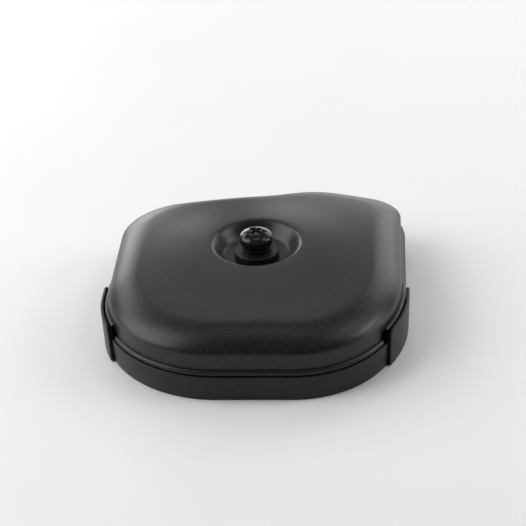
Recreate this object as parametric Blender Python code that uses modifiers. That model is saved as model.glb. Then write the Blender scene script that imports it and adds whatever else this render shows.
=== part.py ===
"""Air filter housing of a small two-stroke engine, as separate pieces.

A shallow tray (base_case) carries a foam element on a plastic grid, a choke
shutter and the seat for the carburettor.  A domed cover closes it, held by one
captive screw in the middle of a dimple.

Sizes below are in millimetres and become metres when a mesh is made.
The origin is on the cover screw's axis, at the underside of the tray.
+Z points up, +X to the right and +Y to the back.
"""

import math

import bmesh
import bpy
from mathutils import Matrix, Vector
from mathutils.geometry import convex_hull_2d

MM = 0.001

# Outline of the tray's outer wall: corner x, y and rounding radius,
# anticlockwise from the front left. The fifth corner turns outward (a waist).
CORNERS = (
    (-47.5, -41.2, 34.0),
    (20.7, -47.7, 28.5),
    (40.2, -27.0, 42.0),
    (46.9, 34.0, 10.9),
    (20.7, 42.9, 27.5),
    (5.3, 39.4, 25.4),
    (-39.8, 38.6, 18.5),
)
SOFT_RADIUS = 7.0
ARC_STEP = math.radians(11.0)
EDGE_STEP = 14.0

# Tray
BAND_HEIGHT = 7.64
BAND_DRAFT = 0.3
WALL_INNER = 3.0
REBATE_INSET = 1.3
REBATE_Z = 7.15
FLOOR_TOP = 2.0
CHAMBER_OUTER = 5.0
CHAMBER_INNER = 6.2
CHAMBER_TOP = 9.6
SHROUD_OUT = 1.0
SHROUD_IN = 0.0
SHROUD_TOP = 11.7
CHANNEL_IN = 1.7
SHROUD_ANGLES = {"right": (-43.2, -13.2), "left": (180.8, 208.2)}
POST_RADIUS = 5.5
POST_TOP = 10.3

# Carburettor seat
INTAKE = Vector((-1.0, 21.0))
INTAKE_RADIUS = 7.5
SEAT_TOP = 6.6
SEAT_FACE = 2.6
SEAT_X = (-27.0, 29.0)
SEAT_FRONT = 4.8
SEAT_WALL = 2.0
BOLT_PITCH = 31.0
BOLT_RADIUS = 3.8
COUNTERBORE_RADIUS = 5.2
COUNTERBORE_FLOOR = 4.2
SLEEVE_RADIUS = 3.5
SLEEVE_BORE = 2.7

# Choke
PIVOT = Vector((18.0, 30.8))
CHOKE_SWING = 66.0
SHUTTER_RADIUS = 8.5
SHUTTER_Z = (6.9, 7.7)
LEVER_Z = (0.5, 2.2)
LEVER_LENGTH = 16.5
SLOT_MARGIN = 26.0
HUB_RADIUS = 3.0

# Cover
COVER_RIM = 7.8
BEAD_TOP = 9.25
BEAD_INSET = 0.6
SKIRT_INSET = 1.25
NOTCH_TOP = 11.0
NOTCH_BEAD_TOP = 12.0
NOTCH_BEAD_INSET = 0.25
NOTCH_MARGIN = 2.4
SKIRT_TOP = 13.3
FILLET_WIDTH = 9.0
FILLET_HEIGHT = 4.8
CROWN_HEIGHT = 4.3
CROWN_RADIUS = 46.0
PEAK_HEIGHT = 1.5
PEAK_RADIUS = 32.0
COVER_WALL = 1.6
DIMPLE_RADIUS = 13.4
DIMPLE_FLOOR_RADIUS = 8.7
DIMPLE_DEPTH = 5.1
COVER_HOLE = 3.0

# Cover screw and its washers
HEAD_RADIUS = 4.75
HEAD_HEIGHT = 4.4
SHANK_RADIUS = 2.4
SHANK_TIP = 6.3
STACK_GAP = 0.15

# Element
ELEMENT_Z = (10.3, 11.3)
ELEMENT_INSET = 4.7
GRID_PITCH = 9.0
GRID_BAR = 1.4
FOAM_Z = 12.0
FOAM_HOLE = 11.5

COVER_TOP = SKIRT_TOP + FILLET_HEIGHT + CROWN_HEIGHT + PEAK_HEIGHT
DIMPLE_FLOOR = COVER_TOP - DIMPLE_DEPTH

collections = {}


# ---------------------------------------------------------------- helpers

def clear_scene():
    for thing in list(bpy.data.objects):
        bpy.data.objects.remove(thing, do_unlink=True)


def make_collections():
    for key, label in (("parts", "air_filter_housing"), ("cutters", "cutters")):
        collection = bpy.data.collections.new(label)
        bpy.context.scene.collection.children.link(collection)
        collections[key] = collection


def material(name, colour, roughness, metallic=0.0):
    made = bpy.data.materials.new(name)
    made.use_nodes = True
    shader = made.node_tree.nodes["Principled BSDF"]
    shader.inputs["Base Color"].default_value = (*colour, 1.0)
    shader.inputs["Roughness"].default_value = roughness
    shader.inputs["Metallic"].default_value = metallic
    made.diffuse_color = (*colour, 1.0)
    return made


def add_object(name, bm, key="cutters", place=(0.0, 0.0, 0.0)):
    """Turns a bmesh drawn in millimetres into an object at place."""
    bmesh.ops.scale(bm, vec=(MM, MM, MM), verts=bm.verts)
    mesh = bpy.data.meshes.new(name)
    bm.to_mesh(mesh)
    bm.free()
    thing = bpy.data.objects.new(name, mesh)
    thing.location = Vector(place) * MM
    collections[key].objects.link(thing)
    if key == "cutters":
        thing.hide_render = True
        thing.display_type = 'WIRE'
    return thing


def finish_part(thing, surface, sharp=35.0):
    """Moves a finished shape in with the parts and gives it its material."""
    if thing.name not in collections["parts"].objects:
        collections["cutters"].objects.unlink(thing)
        collections["parts"].objects.link(thing)
    thing.hide_render = False
    thing.display_type = 'TEXTURED'
    thing.data.materials.clear()
    thing.data.materials.append(surface)
    thing.data.shade_smooth()
    thing.data.set_sharp_from_angle(angle=math.radians(sharp))
    return thing


def combine(thing, other, operation, solver='EXACT'):
    """Joins other to thing, or cuts it away, with a Boolean."""
    step = thing.modifiers.new(operation.lower(), 'BOOLEAN')
    step.operation = operation
    step.solver = solver
    step.object = other
    return thing


def loft(name, sections, ring=False):
    """Joins rings of (x, y, z) points that all have the same count."""
    bm = bmesh.new()
    rows = [[bm.verts.new(point) for point in section] for section in sections]
    pairs = list(zip(rows, rows[1:]))
    if ring:
        pairs.append((rows[-1], rows[0]))
    count = len(rows[0])
    for low, high in pairs:
        for i in range(count):
            j = (i + 1) % count
            bm.faces.new((low[i], low[j], high[j], high[i]))
    if not ring:
        bm.faces.new(rows[0])
        bm.faces.new(rows[-1])
    bmesh.ops.recalc_face_normals(bm, faces=bm.faces)
    return add_object(name, bm)


def prism(name, points, low, high):
    """A flat outline, drawn anticlockwise, given a thickness."""
    bm = bmesh.new()
    face = bm.faces.new([bm.verts.new((x, y, low)) for x, y in points])
    grown = bmesh.ops.extrude_face_region(bm, geom=[face])
    raised = [item for item in grown["geom"] if isinstance(item, bmesh.types.BMVert)]
    bmesh.ops.translate(bm, vec=(0.0, 0.0, high - low), verts=raised)
    bmesh.ops.recalc_face_normals(bm, faces=bm.faces)
    return add_object(name, bm)


def cylinder(name, centre, radius, low, high, segments=32):
    bm = bmesh.new()
    bmesh.ops.create_cone(bm, cap_ends=True, segments=segments, radius1=radius,
                          radius2=radius, depth=high - low)
    return add_object(name, bm, place=(centre[0], centre[1], (low + high) / 2.0))


def box(name, centre, size, turn=0.0):
    bm = bmesh.new()
    bmesh.ops.create_cube(bm, size=1.0)
    bmesh.ops.scale(bm, vec=size, verts=bm.verts)
    bmesh.ops.rotate(bm, cent=(0.0, 0.0, 0.0), verts=bm.verts,
                     matrix=Matrix.Rotation(turn, 3, 'Z'))
    return add_object(name, bm, place=centre)


def turned(name, profile, centre=(0.0, 0.0), steps=32, closed=False):
    """Spins a profile of (radius, z) about a vertical axis through centre.

    The profile runs down its outer side. A closed profile makes a ring.
    """
    bm = bmesh.new()
    verts = [bm.verts.new((radius, 0.0, z)) for radius, z in profile]
    for start, end in zip(verts, verts[1:]):
        bm.edges.new((start, end))
    if closed:
        bm.edges.new((verts[-1], verts[0]))
    thing = add_object(name, bm, place=(centre[0], centre[1], 0.0))
    spin = thing.modifiers.new("spin", 'SCREW')
    spin.angle = math.tau
    spin.screw_offset = 0.0
    spin.axis = 'Z'
    spin.steps = steps
    spin.render_steps = steps
    spin.use_merge_vertices = True
    spin.merge_threshold = 0.00001
    return thing


def flat_ring(name, inner, outer, low, high, centre=(0.0, 0.0), steps=32):
    profile = ((outer, high), (outer, low), (inner, low), (inner, high))
    return turned(name, profile, centre, steps, closed=True)


# ---------------------------------------------------------------- outline

def corner_frames():
    """For each corner: its place, the edge directions and the turning angle."""
    frames = []
    count = len(CORNERS)
    for i, (x, y, radius) in enumerate(CORNERS):
        here = Vector((x, y))
        before = Vector(CORNERS[i - 1][:2])
        after = Vector(CORNERS[(i + 1) % count][:2])
        come = (here - before).normalized()
        leave = (after - here).normalized()
        turn = math.atan2(come.x * leave.y - come.y * leave.x, come.dot(leave))
        frames.append((here, come, leave, turn, radius))
    return frames


def softened(radius, inset, turn):
    """Corner radius after an inset. Outward corners never get sharper than SOFT_RADIUS."""
    if turn < 0.0:
        return radius + inset
    spare = radius - SOFT_RADIUS
    return SOFT_RADIUS + spare * math.exp(-inset / spare)


def section(inset):
    """The outline moved inward by inset, always with the same point count."""
    arcs = []
    for here, come, leave, turn, radius in corner_frames():
        side_in = Vector((-come.y, come.x))
        side_out = Vector((-leave.y, leave.x))
        corner = here + (side_in + side_out) * inset / (1.0 + side_in.dot(side_out))
        bend = 1.0 if turn > 0.0 else -1.0
        round_by = softened(radius, inset, turn)
        start = corner - come * round_by * math.tan(abs(turn) / 2.0)
        centre = start + side_in * round_by * bend
        steps = max(2, round(abs(turn) / ARC_STEP))
        arc = []
        for k in range(steps + 1):
            arm = Matrix.Rotation(turn * k / steps, 2) @ (start - centre)
            arc.append(centre + arm)
        arcs.append(arc)
    points = []
    for i, arc in enumerate(arcs):
        points.extend(arc)
        points.extend(edge_points(i, arc[-1], arcs[(i + 1) % len(arcs)][0]))
    return points


def edge_points(index, start, end):
    """Points between two arcs, as many as the outline's own edge needs."""
    frames = corner_frames()
    here, _, _, turn, radius = frames[index]
    there, _, _, next_turn, next_radius = frames[(index + 1) % len(frames)]
    length = (there - here).length
    length -= radius * math.tan(abs(turn) / 2.0)
    length -= next_radius * math.tan(abs(next_turn) / 2.0)
    pieces = max(1, round(length / EDGE_STEP))
    return [start.lerp(end, k / pieces) for k in range(1, pieces)]


def level(inset, z):
    return [(point.x, point.y, z) for point in section(inset)]


def ring_wall(name, outer, inner, low, high):
    """A wall that follows the outline between two insets."""
    stations = ((outer, low), (outer, high), (inner, high), (inner, low))
    return loft(name, [level(inset, z) for inset, z in stations], ring=True)


def polar(angle, radius=1.0, centre=(0.0, 0.0)):
    turn = math.radians(angle)
    return Vector((centre[0] + radius * math.cos(turn), centre[1] + radius * math.sin(turn)))


def outline_at(inset, angle):
    """The point where a ray from the origin at this angle leaves the outline."""
    ray = polar(angle)
    points = section(inset)
    for start, end in zip(points, points[1:] + points[:1]):
        edge = end - start
        across = ray.x * edge.y - ray.y * edge.x
        if abs(across) < 1e-9:
            continue
        along_ray = (start.x * edge.y - start.y * edge.x) / across
        along_edge = (start.x * ray.y - start.y * ray.x) / across
        if along_ray > 0.0 and 0.0 <= along_edge <= 1.0:
            return ray * along_ray
    return ray


def strip(name, outer, inner, angles, low, high, step=3.0):
    """A stretch of wall between two insets and two angles about the origin."""
    first, last = angles
    count = max(2, round((last - first) / step))
    turns = [first + (last - first) * k / count for k in range(count + 1)]
    points = [outline_at(outer, turn) for turn in turns]
    points += [outline_at(inner, turn) for turn in reversed(turns)]
    return prism(name, points, low, high)


# ---------------------------------------------------------------- tray

def work_tray(tray, other, operation):
    """A Boolean on the tray, whose faces often lie in one plane with the other's."""
    return combine(tray, other, operation, 'MANIFOLD')


def bolt_centres():
    half = Vector((BOLT_PITCH / 2.0, 0.0))
    return {"left": INTAKE - half, "right": INTAKE + half}


def tray_shell():
    """The tray's floor and outer wall, with a rounded edge and a step for the seal."""
    stations = (
        (BAND_DRAFT, 0.0),
        (0.0, BAND_HEIGHT - 0.5),
        (0.12, BAND_HEIGHT - 0.15),
        (0.45, BAND_HEIGHT),
        (REBATE_INSET, BAND_HEIGHT),
        (REBATE_INSET, REBATE_Z),
        (WALL_INNER, REBATE_Z),
        (WALL_INNER, FLOOR_TOP),
    )
    return loft("base_case", [level(inset, z) for inset, z in stations])


def add_carburettor_seat(tray):
    """A raised pad whose underside takes the carburettor's flange."""
    inside = prism("seat_limit", section(WALL_INNER - 0.4), 0.5, SEAT_TOP)
    reach = 60.0
    middle = (SEAT_X[0] + SEAT_X[1]) / 2.0
    block = box("seat_block", (middle, SEAT_FRONT + reach / 2.0, 4.0),
                (SEAT_X[1] - SEAT_X[0], reach, 20.0))
    combine(inside, block, 'INTERSECT')
    work_tray(tray, inside, 'UNION')


def cut_carburettor_seat(tray):
    pocket = prism("flange_pocket", section(WALL_INNER - 0.4), -1.0, SEAT_FACE)
    reach = 60.0
    low_x = SEAT_X[0] + SEAT_WALL
    high_x = SEAT_X[1] - SEAT_WALL
    front = SEAT_FRONT + SEAT_WALL
    window = box("pocket_limit", ((low_x + high_x) / 2.0, front + reach / 2.0, 0.0),
                 (high_x - low_x, reach, 20.0))
    combine(pocket, window, 'INTERSECT')
    work_tray(tray, pocket, 'DIFFERENCE')
    bore = cylinder("intake_bore", INTAKE, INTAKE_RADIUS, 0.0, 12.0, 40)
    work_tray(tray, bore, 'DIFFERENCE')
    for side, centre in bolt_centres().items():
        hole = cylinder("bolt_hole_" + side, centre, BOLT_RADIUS, 0.0, 9.0)
        head = cylinder("counterbore_" + side, centre, COUNTERBORE_RADIUS,
                        COUNTERBORE_FLOOR, 12.0)
        work_tray(tray, hole, 'DIFFERENCE')
        work_tray(tray, head, 'DIFFERENCE')
    pivot_bore = cylinder("pivot_bore", PIVOT, HUB_RADIUS + 0.3, 0.0, 9.0, 24)
    work_tray(tray, pivot_bore, 'DIFFERENCE')


def cut_lever_slot(tray):
    """An open slot under the back wall, as wide as the lever's swing."""
    first = 90.0 - CHOKE_SWING / 2.0 - SLOT_MARGIN
    last = 90.0 + CHOKE_SWING / 2.0 + SLOT_MARGIN
    fan = [PIVOT]
    fan += [polar(first + (last - first) * k / 10.0, 22.0, PIVOT) for k in range(11)]
    work_tray(tray, prism("lever_slot", fan, -1.0, SEAT_FACE), 'DIFFERENCE')


def add_inlets(tray):
    """Outset shrouds on both sides, with the air channel and its windows."""
    for side, (first, last) in SHROUD_ANGLES.items():
        shroud = strip("shroud_" + side, -SHROUD_OUT, 0.8, (first, last), 0.0, SHROUD_TOP)
        work_tray(tray, shroud, 'UNION')
    for side, (first, last) in SHROUD_ANGLES.items():
        relief = strip("shroud_relief_" + side, SHROUD_IN, WALL_INNER + 1.0,
                       (first - 2.0, last + 2.0), BAND_HEIGHT, 14.0)
        channel = strip("channel_" + side, SHROUD_IN, CHANNEL_IN,
                        (first + 2.0, last - 2.0), FLOOR_TOP, 14.0)
        work_tray(tray, relief, 'DIFFERENCE')
        work_tray(tray, channel, 'DIFFERENCE')
        for k in range(3):
            angle = first + (last - first) * (0.22 + 0.28 * k)
            outer = outline_at(CHANNEL_IN, angle)
            inner = outline_at(WALL_INNER, angle)
            middle = (outer + inner) / 2.0
            ahead = outline_at(CHANNEL_IN, angle + 1.0) - outline_at(CHANNEL_IN, angle - 1.0)
            turn = math.atan2(ahead.y, ahead.x)
            window = box("window_%s_%d" % (side, k), (middle.x, middle.y, 4.6),
                         (4.6, 2.6, 3.2), turn)
            work_tray(tray, window, 'DIFFERENCE')


def make_base_case(surface):
    tray = tray_shell()
    add_inlets(tray)
    add_carburettor_seat(tray)
    chamber = ring_wall("chamber_wall", CHAMBER_OUTER, CHAMBER_INNER, 1.0, CHAMBER_TOP)
    work_tray(tray, chamber, 'UNION')
    work_tray(tray, cylinder("post", (0.0, 0.0), POST_RADIUS, 1.0, POST_TOP), 'UNION')
    cut_carburettor_seat(tray)
    cut_lever_slot(tray)
    work_tray(tray, cylinder("insert_bore", (0.0, 0.0), 3.9, 3.0, 12.0), 'DIFFERENCE')
    return finish_part(tray, surface)


def make_fixed_fittings(looks):
    """The pieces that stay on the tray."""
    insert = flat_ring("thread_insert", 2.8, 3.6, 3.3, POST_TOP - 0.1)
    finish_part(insert, looks["brass"])
    for side, centre in bolt_centres().items():
        sleeve = flat_ring("sleeve_" + side, SLEEVE_BORE, SLEEVE_RADIUS,
                           SEAT_FACE + 0.1, COUNTERBORE_FLOOR - 0.1, centre)
        finish_part(sleeve, looks["zinc"])
    make_carb_gasket(looks["gasket"])


def circle_points(centre, radius, count=32):
    return [polar(360.0 * k / count, radius, centre) for k in range(count)]


def hull(points):
    return [points[i] for i in convex_hull_2d(points)]


def make_carb_gasket(surface):
    """Oval flange gasket with the air hole and two bolt holes."""
    low, high = SEAT_FACE - 1.1, SEAT_FACE - 0.3
    rim = circle_points(INTAKE, 12.0)
    for centre in bolt_centres().values():
        rim += circle_points(centre, 6.2, 24)
    gasket = prism("carb_gasket", hull(rim), low, high)
    combine(gasket, cylinder("gasket_bore", INTAKE, INTAKE_RADIUS + 0.3, 0.0, 5.0), 'DIFFERENCE')
    for side, centre in bolt_centres().items():
        hole = cylinder("gasket_hole_" + side, centre, 2.9, 0.0, 5.0, 24)
        combine(gasket, hole, 'DIFFERENCE')
    return finish_part(gasket, surface)


# ---------------------------------------------------------------- choke

def make_choke(looks):
    """Shutter, lever and pivot screw, all turning about the pivot. Open at rest."""
    to_intake = INTAKE - PIVOT
    closed_angle = math.degrees(math.atan2(to_intake.y, to_intake.x))
    disc = polar(closed_angle + CHOKE_SWING, to_intake.length, PIVOT)
    eye = circle_points(PIVOT, 3.8, 24)
    shutter = prism("choke_shutter", circle_points(disc, SHUTTER_RADIUS, 40), *SHUTTER_Z)
    neck = circle_points(disc, 3.8, 24)
    arm = prism("shutter_arm", hull(eye + neck), *SHUTTER_Z)
    combine(shutter, arm, 'UNION')
    combine(shutter, cylinder("shutter_hole", PIVOT, 1.8, 0.0, 12.0, 24), 'DIFFERENCE')
    finish_part(shutter, looks["zinc"])

    tip = polar(90.0 + CHOKE_SWING / 2.0, LEVER_LENGTH - 2.2, PIVOT)
    arm_points = hull(circle_points(PIVOT, 3.9, 24) + circle_points(tip, 2.2, 16))
    lever = prism("choke_lever", arm_points, *LEVER_Z)
    hub = cylinder("lever_hub", PIVOT, HUB_RADIUS, 1.0, SHUTTER_Z[0] - 0.2, 24)
    combine(lever, hub, 'UNION')
    combine(lever, cylinder("lever_bore", PIVOT, 1.6, 3.4, 9.0, 24), 'DIFFERENCE')
    finish_part(lever, looks["lever"])

    top = SHUTTER_Z[1]
    washer = flat_ring("choke_washer", 1.7, 3.1, top + 0.08, top + 0.38, PIVOT, 24)
    finish_part(washer, looks["spring_steel"])
    base = top + 0.46
    profile = ((0.0, base + 1.35), (1.7, base + 1.2), (2.6, base + 0.6), (2.6, base),
               (1.3, base), (1.3, 4.0), (0.0, 4.0))
    screw = turned("choke_pivot_screw", profile, PIVOT, 24)
    combine(screw, box("pivot_slot", (PIVOT.x, PIVOT.y, base + 1.6), (7.0, 0.7, 1.6)),
            'DIFFERENCE')
    finish_part(screw, looks["zinc"])


# ---------------------------------------------------------------- cover

def crown(point):
    """Rise of the top above the fillet: a broad bow, and a low peak round the middle."""
    bow = CROWN_HEIGHT * (1.0 - (point.length / CROWN_RADIUS) ** 2)
    near = max(0.0, 1.0 - (point.length / PEAK_RADIUS) ** 2)
    return bow + PEAK_HEIGHT * near ** 2


def dome_row(points, run, fillet, height):
    """Heights for one ring of the dome, this far inside the skirt."""
    near = min(run / fillet, 1.0)
    rise = math.sqrt(1.0 - (1.0 - near) ** 2)
    return [(p.x, p.y, SKIRT_TOP + (height + crown(p)) * rise) for p in points]


def even_circle(points, radius):
    """A circle with even spacing, turned to line up with a ring of points."""
    count = len(points)
    first = math.atan2(points[0].y, points[0].x)
    drift = 0.0
    for i, point in enumerate(points):
        ahead = math.atan2(point.y, point.x) - first
        drift += ahead % math.tau - math.tau * i / count
    start = first + drift / count
    return [polar(math.degrees(start + math.tau * i / count), radius) for i in range(count)]


def skin_rows(skirt, fillet, height, dimple, floor_radius, floor):
    """One face of the cover, from the foot of the dome to the foot of the dimple."""
    rows = []
    for k in range(8):
        run = fillet * (1.0 - math.cos(math.radians(90.0 * k / 7.0)))
        rows.append(dome_row(section(skirt + run), run, fillet, height))
    last = section(skirt + fillet)
    circle = even_circle(last, dimple)
    for k in (1, 2, 3):
        points = [a.lerp(b, k / 3.0) for a, b in zip(last, circle)]
        rows.append(dome_row(points, fillet, fillet, height))
    rim = SKIRT_TOP + height + crown(circle[0])
    for k in range(1, 7):
        share = k / 6.0
        ease = 0.5 - 0.5 * math.cos(math.pi * share)
        radius = dimple + (floor_radius - dimple) * share
        z = rim + (floor - rim) * ease
        rows.append([(*point, z) for point in even_circle(last, radius)])
    return rows


def cover_rows():
    """Up the outside, down through the screw hole and back along the inside."""
    rows = [
        level(BEAD_INSET + 0.15, COVER_RIM),
        level(BEAD_INSET, COVER_RIM + 0.3),
        level(BEAD_INSET, BEAD_TOP - 0.3),
        level(SKIRT_INSET, BEAD_TOP),
    ]
    rows += skin_rows(SKIRT_INSET, FILLET_WIDTH, FILLET_HEIGHT, DIMPLE_RADIUS,
                      DIMPLE_FLOOR_RADIUS, DIMPLE_FLOOR)
    last = section(SKIRT_INSET + FILLET_WIDTH)
    bottom = DIMPLE_FLOOR - COVER_WALL
    hole = even_circle(last, COVER_HOLE)
    rows.append([(*point, DIMPLE_FLOOR) for point in hole])
    rows.append([(*point, bottom) for point in hole])
    inside = skin_rows(SKIRT_INSET + COVER_WALL, FILLET_WIDTH - COVER_WALL,
                       FILLET_HEIGHT - COVER_WALL, DIMPLE_RADIUS + 0.9,
                       DIMPLE_FLOOR_RADIUS + 1.1, bottom)
    rows += reversed(inside)
    rows.append(level(SKIRT_INSET + COVER_WALL, COVER_RIM))
    return rows


def make_air_cover(surface):
    """Domed cover. Behind each shroud its rim is raised to let the air in."""
    cover = loft("air_cover", cover_rows(), ring=True)
    for side, (first, last) in SHROUD_ANGLES.items():
        ends = (first - NOTCH_MARGIN, last + NOTCH_MARGIN)
        notch = strip("notch_" + side, -0.5, WALL_INNER + 1.0, ends, 5.0, NOTCH_TOP)
        combine(cover, notch, 'DIFFERENCE')
    for side, (first, last) in SHROUD_ANGLES.items():
        bead = strip("notch_bead_" + side, NOTCH_BEAD_INSET, SKIRT_INSET + 0.5, (first, last),
                     NOTCH_TOP - 0.05, NOTCH_BEAD_TOP)
        combine(cover, bead, 'UNION')
    return finish_part(cover, surface)


def make_cover_seal(surface):
    seal = ring_wall("cover_seal", SKIRT_INSET + 0.4, SKIRT_INSET + 1.4,
                     REBATE_Z + 0.1, COVER_RIM - 0.1)
    return finish_part(seal, surface)


# ---------------------------------------------------------------- cover screw

def make_screw_stack(looks):
    """Rubber washer, flat washer, spring washer and pan-head screw, bottom up."""
    z = DIMPLE_FLOOR + STACK_GAP
    finish_part(flat_ring("seal_washer", 2.75, 6.0, z, z + 0.7), looks["rubber"])
    z += 0.7 + STACK_GAP
    finish_part(flat_ring("flat_washer", 2.7, 6.5, z, z + 1.0, steps=40), looks["black_steel"])
    z += 1.0 + STACK_GAP
    spring = flat_ring("lock_washer", 2.65, 4.0, z, z + 1.35)
    combine(spring, box("washer_split", (4.0, 0.0, z + 0.7), (4.0, 0.7, 3.0), 0.35), 'DIFFERENCE')
    finish_part(spring, looks["black_steel"])
    z += 1.35 + STACK_GAP
    make_cover_screw(z, looks["black_steel"])
    retainer = flat_ring("screw_retainer", SHANK_RADIUS + 0.2, 4.6, POST_TOP + 0.6,
                         POST_TOP + 1.4)
    finish_part(retainer, looks["nylon"])


def make_cover_screw(seat, surface):
    """Pan head with a cross recess. The thread is left as a plain shank."""
    top = seat + HEAD_HEIGHT
    profile = [(0.0, top)]
    for k in range(1, 6):
        angle = math.radians(16.0 * k)
        profile.append((HEAD_RADIUS * math.sin(angle), top - 1.9 * (1.0 - math.cos(angle))))
    profile += [(HEAD_RADIUS, seat + 1.3), (HEAD_RADIUS, seat + 0.6), (HEAD_RADIUS - 0.6, seat),
                (SHANK_RADIUS, seat), (SHANK_RADIUS, SHANK_TIP + 0.6),
                (SHANK_RADIUS - 0.6, SHANK_TIP), (0.0, SHANK_TIP)]
    screw = turned("cover_screw", profile, steps=32)
    for turn in (math.pi / 4.0, -math.pi / 4.0):
        slot = box("cross_slot_%d" % round(turn), (0.0, 0.0, top), (4.8, 1.1, 4.4), turn)
        combine(screw, slot, 'DIFFERENCE')
    return finish_part(screw, surface)


# ---------------------------------------------------------------- element

def make_element_seal(surface):
    seal = ring_wall("element_seal", CHAMBER_OUTER - 0.1, CHAMBER_INNER + 0.3,
                     CHAMBER_TOP + 0.1, ELEMENT_Z[0] - 0.1)
    return finish_part(seal, surface)


def make_element_frame(surface):
    """A grid with a solid rim, a solid middle and a collar round the post."""
    low, high = ELEMENT_Z
    frame = prism("element_frame", section(ELEMENT_INSET), low, high)
    openings = prism("grid_openings", section(ELEMENT_INSET + 2.8), 0.0, 20.0)
    reach = 60.0
    bars = []
    for k in range(-4, 5):
        bars.append(box("bar_x_%d" % k, (k * GRID_PITCH, 0.0, 10.0), (GRID_BAR, 2 * reach, 30.0)))
        bars.append(box("bar_y_%d" % k, (0.0, k * GRID_PITCH, 10.0), (2 * reach, GRID_BAR, 30.0)))
    bars.append(cylinder("grid_middle", (0.0, 0.0), FOAM_HOLE + 1.5, -5.0, 25.0))
    for bar in bars:
        combine(openings, bar, 'DIFFERENCE')
    combine(frame, openings, 'DIFFERENCE')
    collar = cylinder("frame_collar", (0.0, 0.0), POST_RADIUS + 1.7, 8.6, high)
    combine(frame, collar, 'UNION')
    hole = cylinder("frame_hole", (0.0, 0.0), POST_RADIUS + 0.4, 0.0, 20.0)
    combine(frame, hole, 'DIFFERENCE')
    return finish_part(frame, surface)


def make_filter_screen(surface):
    low = ELEMENT_Z[1] + 0.15
    screen = prism("filter_screen", section(ELEMENT_INSET + 1.0), low, low + 0.3)
    hole = cylinder("screen_hole", (0.0, 0.0), POST_RADIUS + 1.7, 0.0, 20.0)
    combine(screen, hole, 'DIFFERENCE')
    return finish_part(screen, surface)


def make_filter_foam(surface):
    """A pad with soft shoulders and a round hole for the cover's dimple."""
    edge = ELEMENT_INSET + 0.5
    shoulders = ((edge, FOAM_Z), (edge, 13.8), (edge + 1.2, 14.8), (edge + 4.0, 16.3),
                 (edge + 8.0, 17.4))
    rows = [level(inset, z) for inset, z in shoulders]
    last = section(edge + 8.0)
    rows.append([(*point, 17.9) for point in even_circle(last, FOAM_HOLE + 4.0)])
    rows.append([(*point, 16.5) for point in even_circle(last, FOAM_HOLE + 0.6)])
    rows.append([(*point, 15.6) for point in even_circle(last, FOAM_HOLE)])
    rows.append([(*point, FOAM_Z) for point in even_circle(last, FOAM_HOLE)])
    foam = loft("filter_foam", rows, ring=True)
    return finish_part(foam, surface, 60.0)


# ---------------------------------------------------------------- assembly

def make_looks():
    return {
        "black_plastic": material("black_plastic", (0.022, 0.022, 0.022), 0.42),
        "cover_plastic": material("cover_plastic", (0.024, 0.024, 0.023), 0.38),
        "black_steel": material("black_steel", (0.03, 0.03, 0.032), 0.22, 0.9),
        "rubber": material("rubber", (0.015, 0.015, 0.015), 0.75),
        "nylon": material("nylon", (0.72, 0.70, 0.64), 0.45),
        "brass": material("brass", (0.62, 0.45, 0.16), 0.3, 1.0),
        "zinc": material("zinc", (0.62, 0.61, 0.58), 0.3, 1.0),
        "spring_steel": material("spring_steel", (0.4, 0.4, 0.41), 0.28, 1.0),
        "gasket": material("gasket", (0.10, 0.12, 0.10), 0.85),
        "lever": material("lever_plastic", (0.03, 0.03, 0.03), 0.45),
        "grid_plastic": material("grid_plastic", (0.035, 0.035, 0.035), 0.5),
        "wire": material("wire_mesh", (0.55, 0.55, 0.52), 0.35, 1.0),
        "foam": material("foam", (0.09, 0.10, 0.11), 0.95),
    }


def main():
    clear_scene()
    make_collections()
    looks = make_looks()
    make_base_case(looks["black_plastic"])
    make_fixed_fittings(looks)
    make_choke(looks)
    make_element_seal(looks["rubber"])
    make_element_frame(looks["grid_plastic"])
    make_filter_screen(looks["wire"])
    make_filter_foam(looks["foam"])
    make_cover_seal(looks["rubber"])
    make_air_cover(looks["cover_plastic"])
    make_screw_stack(looks)


main()
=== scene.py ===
"""Looks of the air filter housing: moulded covers, foam element, wire screen and hardware.

Sizes are in millimetres and become metres when a mesh is made. The frame is the CAD's:
the cover screw's axis is x = y = 0, the tray's underside is z = 0, and +Y is the back.
"""
from functools import lru_cache
from math import atan2, cos, degrees, exp, pi, radians, sin, sqrt, tan, tau

import bmesh
import bpy
import numpy as np
from mathutils import Matrix, Vector
from mathutils.geometry import convex_hull_2d


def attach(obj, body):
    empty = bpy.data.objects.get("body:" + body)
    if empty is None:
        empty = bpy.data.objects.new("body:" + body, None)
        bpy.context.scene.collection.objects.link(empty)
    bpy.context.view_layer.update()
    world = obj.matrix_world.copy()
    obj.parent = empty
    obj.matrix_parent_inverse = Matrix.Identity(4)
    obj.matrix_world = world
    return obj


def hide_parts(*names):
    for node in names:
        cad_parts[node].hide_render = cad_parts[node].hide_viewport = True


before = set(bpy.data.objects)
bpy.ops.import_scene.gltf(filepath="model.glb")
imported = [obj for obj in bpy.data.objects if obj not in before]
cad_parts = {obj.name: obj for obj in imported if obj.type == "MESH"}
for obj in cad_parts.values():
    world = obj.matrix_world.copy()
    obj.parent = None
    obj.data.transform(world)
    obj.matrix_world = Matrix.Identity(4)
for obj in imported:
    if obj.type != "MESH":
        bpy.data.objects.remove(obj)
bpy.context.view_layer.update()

MM = 0.001
# Stands for a radius of zero, so that no face collapses.
ON_AXIS = 1e-4

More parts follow.
